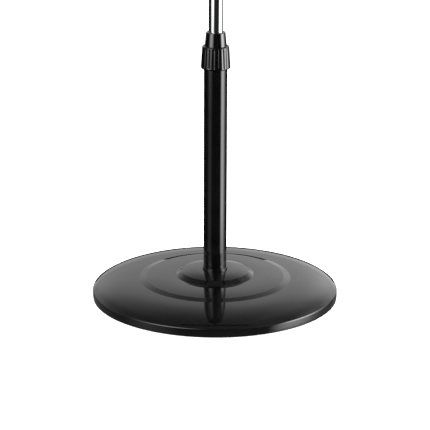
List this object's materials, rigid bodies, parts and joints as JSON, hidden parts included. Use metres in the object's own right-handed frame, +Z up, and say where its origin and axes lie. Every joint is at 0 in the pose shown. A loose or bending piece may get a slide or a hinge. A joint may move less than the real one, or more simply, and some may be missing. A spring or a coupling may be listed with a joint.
{
  "type": "music stand",
  "caption": "Free-standing music stand: round stepped base, telescopic mast locked by a ribbed screw collar, tilting sheet-metal desk with shelf and page arms.",
  "frame": {"origin": "middle of the base on the floor plane, under the rubber feet", "axes": "+Z up along the mast, -Y towards the reader, +X to the right of someone who looks along +Y at the front"},
  "size_m": [0.5044, 0.3724, 1.0946],
  "materials": {
    "black_moulding": "high-gloss injection moulding",
    "black_enamel": "gloss black stove enamel on steel",
    "chrome": "bright chrome plate",
    "zinc_steel": "zinc-plated steel",
    "zinc_sheet": "galvanised sheet",
    "cast_iron": "as cast, lightly primed",
    "rubber": "matt black elastomer",
    "dark_nylon": "glass-filled nylon",
    "white_acetal": "natural acetal",
    "brass": "turned brass",
    "fibre": "pressed friction fibre"
  },
  "bodies": {
    "base": {"base_cover": "black_moulding", "base_weight": "cast_iron", "base_plate": "zinc_sheet", "base_feet": "rubber", "plate_screws": "zinc_steel", "anchor_bolt": "zinc_steel", "anchor_washer": "zinc_steel", "tube_plug": "zinc_steel", "foot_ring": "black_moulding", "outer_tube": "black_enamel", "collet_sleeve": "dark_nylon"},
    "wedge": {"wedge_ring": "brass"},
    "collar": {"clamp_nut": "black_moulding", "nose_cone": "black_moulding"},
    "slider": {"guide_bush": "white_acetal"},
    "mast": {"inner_tube": "chrome", "bush_circlips": "zinc_steel", "tube_end_liner": "dark_nylon", "head_socket": "black_enamel", "socket_screw": "zinc_steel"},
    "desk": {"desk_bracket": "black_enamel", "bracket_rivets": "zinc_steel", "tilt_bolt": "zinc_steel", "bolt_washer": "zinc_steel", "friction_washers": "fibre", "desk_panel": "black_enamel", "desk_stiffener": "black_enamel", "desk_shelf": "black_enamel", "shelf_rivets": "zinc_steel", "panel_edge_trim": "rubber", "lip_edge_trim": "rubber", "arm_pivots": "zinc_steel"},
    "knob": {"tilt_knob": "black_moulding", "knob_insert": "brass"},
    "left_arm": {"page_arm_left": "chrome", "arm_tip_left": "rubber"},
    "right_arm": {"page_arm_right": "chrome", "arm_tip_right": "rubber"}
  },
  "joints": [
    {"name": "collar_lift", "type": "slide", "parent": "base", "child": "wedge", "axis": [0, 0, 1], "range_m": [0, 0.00113]},
    {"name": "collar_turn", "type": "hinge", "parent": "wedge", "child": "collar", "pos_m": [0, 0, 0.372], "axis": [0, 0, 1], "range_deg": [0, 270]},
    {"name": "height_slide", "type": "slide", "parent": "base", "child": "slider", "axis": [0, 0, 1], "range_m": [-0.135, 0.085]},
    {"name": "mast_swivel", "type": "hinge", "parent": "slider", "child": "mast", "pos_m": [0, 0, 0.217], "axis": [0, 0, 1], "continuous": true},
    {"name": "desk_tilt", "type": "hinge", "parent": "mast", "child": "desk", "pos_m": [0, 0, 0.886], "axis": [-1, 0, 0], "range_deg": [-20, 62]},
    {"name": "knob_turn", "type": "hinge", "parent": "desk", "child": "knob", "pos_m": [0.02, 0, 0.886], "axis": [1, 0, 0], "range_deg": [0, 330]},
    {"name": "left_arm_swing", "type": "hinge", "parent": "desk", "child": "left_arm", "pos_m": [-0.186, -0.12613, 0.80261], "axis": [0, 0.9397, -0.342], "range_deg": [-68, 68]},
    {"name": "right_arm_swing", "type": "hinge", "parent": "desk", "child": "right_arm", "pos_m": [0.186, -0.12613, 0.80261], "axis": [0, -0.9397, 0.342], "range_deg": [-68, 68]}
  ],
  "couplings": [
    {"joint": "collar_lift", "follows": "collar_turn", "m_per_rad": 0.00023873}
  ]
}
